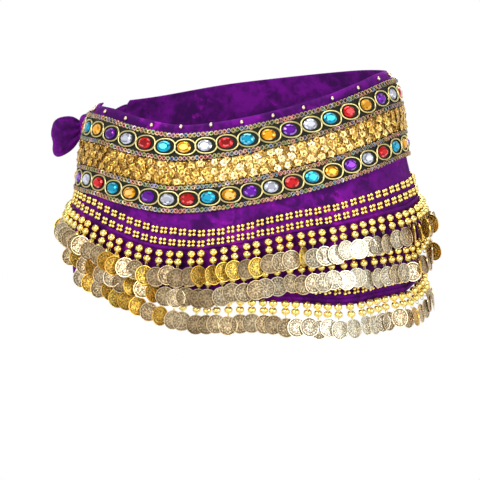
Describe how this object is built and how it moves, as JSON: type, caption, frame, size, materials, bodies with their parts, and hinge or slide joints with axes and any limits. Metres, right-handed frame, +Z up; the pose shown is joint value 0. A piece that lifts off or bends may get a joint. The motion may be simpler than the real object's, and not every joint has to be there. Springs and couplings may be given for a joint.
{
  "type": "belly dance hip scarf",
  "caption": "Velvet hip scarf as worn round the hips, with jewelled trims, a gold sequin band, rows of beads and coins, and a bow tied at one side.",
  "frame": {"origin": "on the upright axis of the hips, inside the ring, level with the upper part of the scarf", "axes": "+Z up, the wearer's front faces -Y, the wearer's left hip is at +X"},
  "size_m": [0.3915, 0.2766, 0.257],
  "materials": {
    "velvet": "purple velvet with a magenta sheen",
    "trim_ribbon": "dark ribbon that carries the gems and their loops",
    "gold_sequins": "metallised gold star sequins",
    "coins": "stamped champagne gold coins and bright gold beads",
    "gems": "faceted oval gems in five colours",
    "gold_metal": "polished gold loops round the gems",
    "iridescent_sequins": "small sequins that turn from pink to green"
  },
  "bodies": {
    "root": {"velvet_panel": "velvet", "jewelled_trim_upper": "trim_ribbon", "jewelled_trim_lower": "trim_ribbon", "gold_band": "gold_sequins", "coin_row_upper": "coins", "coin_row_middle": "coins", "coin_row_lower": "coins", "tie_front": "velvet", "tie_back": "velvet", "knot": "velvet", "bow_loop_front": "velvet", "bow_loop_back": "velvet", "tail_front": "velvet", "tail_back": "velvet"}
  },
  "joints": []
}
